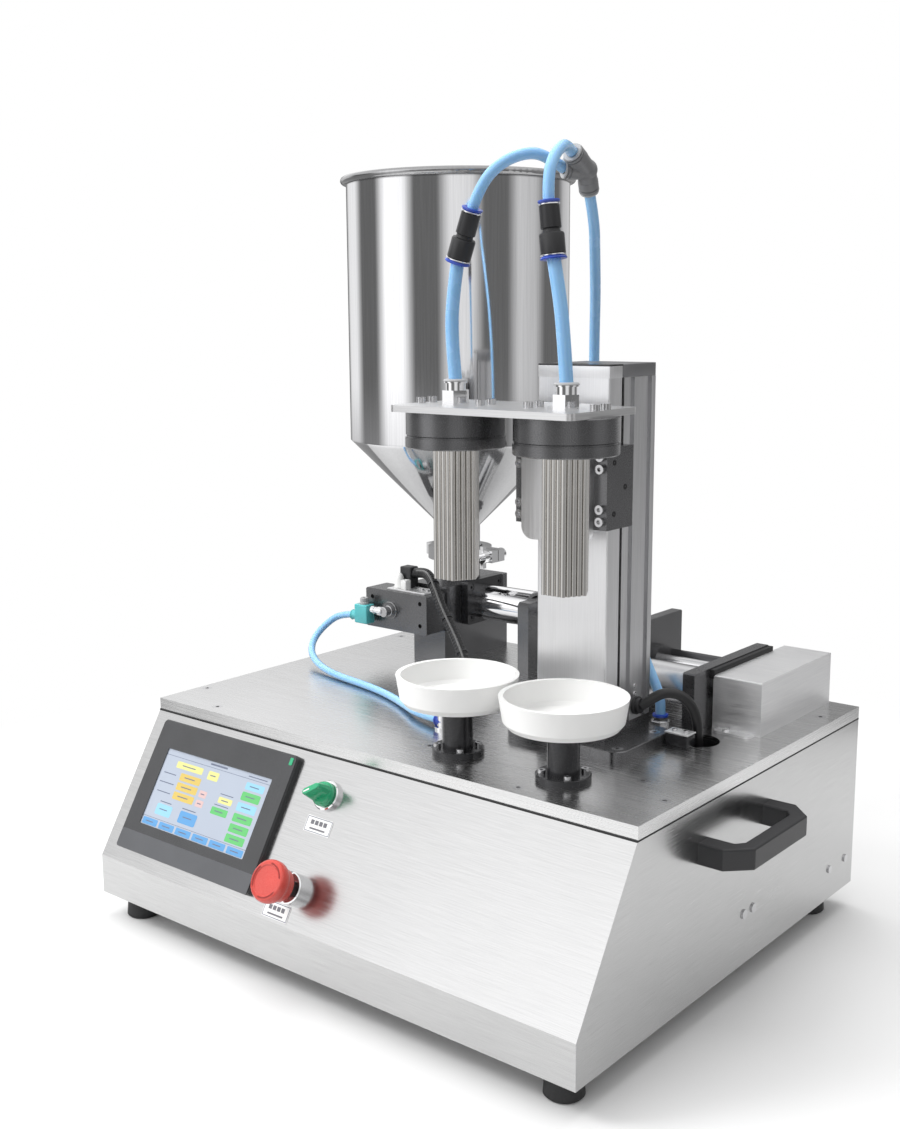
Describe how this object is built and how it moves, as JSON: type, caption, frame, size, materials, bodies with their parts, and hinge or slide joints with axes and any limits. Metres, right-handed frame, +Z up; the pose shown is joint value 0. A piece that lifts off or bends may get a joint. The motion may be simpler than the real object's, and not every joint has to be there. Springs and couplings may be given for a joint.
{
  "type": "piston liquid filler",
  "caption": "Desktop piston filler: sloped steel cabinet with touch panel, tall hopper, piston pump, lift column with needle nozzles over rotating dishes.",
  "frame": {"origin": "on the table under the middle of the machine's bounding box, hoses and cables left out", "axes": "+Z up, +Y towards the back, away from the touch panel, +X to the right as the operator sees it"},
  "size_m": [0.688, 0.6024, 0.774],
  "materials": {
    "stainless": "brushed",
    "stainless_deck": "brushed",
    "polished_steel": "polished",
    "chrome": "polished",
    "steel": "machined",
    "motor_steel": "satin",
    "black_anodised": "satin anodised",
    "aluminium": "satin",
    "black_plastic": "matte",
    "grey_plastic": "matte",
    "green_plastic": "gloss",
    "red_plastic": "gloss",
    "teal_plastic": "gloss",
    "white_nylon": "satin",
    "screen_glass": "gloss",
    "rubber": "matte",
    "blue_hose": "gloss",
    "black_cable": "satin"
  },
  "bodies": {
    "frame": {"cabinet_shell": "stainless", "deck_plate": "stainless_deck", "cabinet_screws": "steel", "handles": "black_plastic", "rubber_feet": "rubber", "power_inlet": "black_plastic", "hmi_bezel": "black_plastic", "hmi_screen": "screen_glass", "button_bases": "chrome", "control_modules": "grey_plastic", "table_flanges": "black_anodised", "column_plate": "black_anodised", "column_profile": "aluminium", "column_cover": "aluminium", "column_cap": "black_anodised", "hopper": "polished_steel", "hopper_clamp": "chrome", "valve_body": "black_anodised", "valve_actuator": "black_anodised", "support_block": "black_anodised", "flange_plate": "black_anodised", "barrel": "chrome", "saddle_plate": "black_anodised", "guide_rods": "steel", "drive_plate": "black_anodised", "motors": "motor_steel", "drive_belt": "rubber", "belt_cover": "stainless", "air_fittings": "teal_plastic", "air_hose": "blue_hose", "cable_bundle": "black_cable", "drive_cable": "black_cable"},
    "selector": {"selector_knob": "green_plastic"},
    "estop_stem": {"estop_plunger": "black_plastic"},
    "estop_head": {"estop_cap": "red_plastic"},
    "table_left": {"table_shaft_left": "steel", "tray_left": "white_nylon"},
    "table_right": {"table_shaft_right": "steel", "tray_right": "white_nylon"},
    "head": {"head_plate": "stainless", "nozzle_caps": "black_anodised", "nozzle_rings": "black_anodised", "nozzle_needles": "chrome", "head_fittings": "chrome", "head_screws": "steel", "hose_fittings": "grey_plastic", "hose_lower_left": "blue_hose", "hose_lower_right": "blue_hose", "hose_upper_left": "blue_hose", "hose_upper_right": "blue_hose", "supply_hose": "blue_hose", "carriage": "black_anodised", "carriage_bracket": "aluminium"},
    "lift_screw": {"lift_screw": "steel"},
    "piston": {"piston": "chrome", "crosshead": "black_anodised"},
    "drive_screw": {"drive_screw": "steel"},
    "motor_pulley": {"motor_pulley": "steel"},
    "valve": {"valve_rotor": "steel"},
    "wing_nut": {"wing_nut": "chrome"}
  },
  "joints": [
    {"name": "selector_turn", "type": "hinge", "parent": "frame", "child": "selector", "pos_m": [-0.0288, -0.21075, 0.17318], "axis": [0, -0.8531, 0.5217], "range_deg": [-90, 0]},
    {"name": "estop_push", "type": "slide", "parent": "frame", "child": "estop_stem", "axis": [0, 0.8531, -0.5217], "range_m": [0, 0.006], "stiffness_N_per_m": 800, "springref_m": -0.003},
    {"name": "estop_release_twist", "type": "hinge", "parent": "estop_stem", "child": "estop_head", "pos_m": [-0.0286, -0.25828, 0.09546], "axis": [0, -0.8531, 0.5217], "range_deg": [-30, 0], "stiffness_Nm_per_rad": 0.05},
    {"name": "table_left_spin", "type": "hinge", "parent": "frame", "child": "table_left", "pos_m": [0.068, -0.13529, 0.217], "axis": [0, 0, 1], "continuous": true},
    {"name": "table_right_spin", "type": "hinge", "parent": "frame", "child": "table_right", "pos_m": [0.188, -0.13529, 0.217], "axis": [0, 0, 1], "continuous": true},
    {"name": "head_lift", "type": "slide", "parent": "frame", "child": "head", "axis": [0, 0, 1], "range_m": [-0.085, 0.04], "deforming": ["supply_hose"]},
    {"name": "lift_screw_turn", "type": "hinge", "parent": "frame", "child": "lift_screw", "pos_m": [0.139, -0.01129, 0.217], "axis": [0, 0, 1], "continuous": true},
    {"name": "piston_stroke", "type": "slide", "parent": "frame", "child": "piston", "axis": [-1, 0, 0], "range_m": [0, 0.045]},
    {"name": "drive_screw_turn", "type": "hinge", "parent": "frame", "child": "drive_screw", "pos_m": [0, 0.1667, 0.251], "axis": [1, 0, 0], "continuous": true},
    {"name": "motor_pulley_turn", "type": "hinge", "parent": "frame", "child": "motor_pulley", "pos_m": [0, 0.0927, 0.251], "axis": [1, 0, 0], "continuous": true},
    {"name": "valve_turn", "type": "hinge", "parent": "frame", "child": "valve", "pos_m": [-0.175, 0.1667, 0.284], "axis": [0, 1, 0], "range_deg": [0, 90]},
    {"name": "wing_nut_turn", "type": "hinge", "parent": "frame", "child": "wing_nut", "pos_m": [-0.125, 0.1667, 0.341], "axis": [0, 1, 0], "continuous": true}
  ],
  "couplings": [
    {"joint": "lift_screw_turn", "follows": "head_lift", "rad_per_m": 628.32},
    {"joint": "drive_screw_turn", "follows": "piston_stroke", "rad_per_m": 1256.6},
    {"joint": "motor_pulley_turn", "follows": "piston_stroke", "rad_per_m": 2094.4}
  ]
}
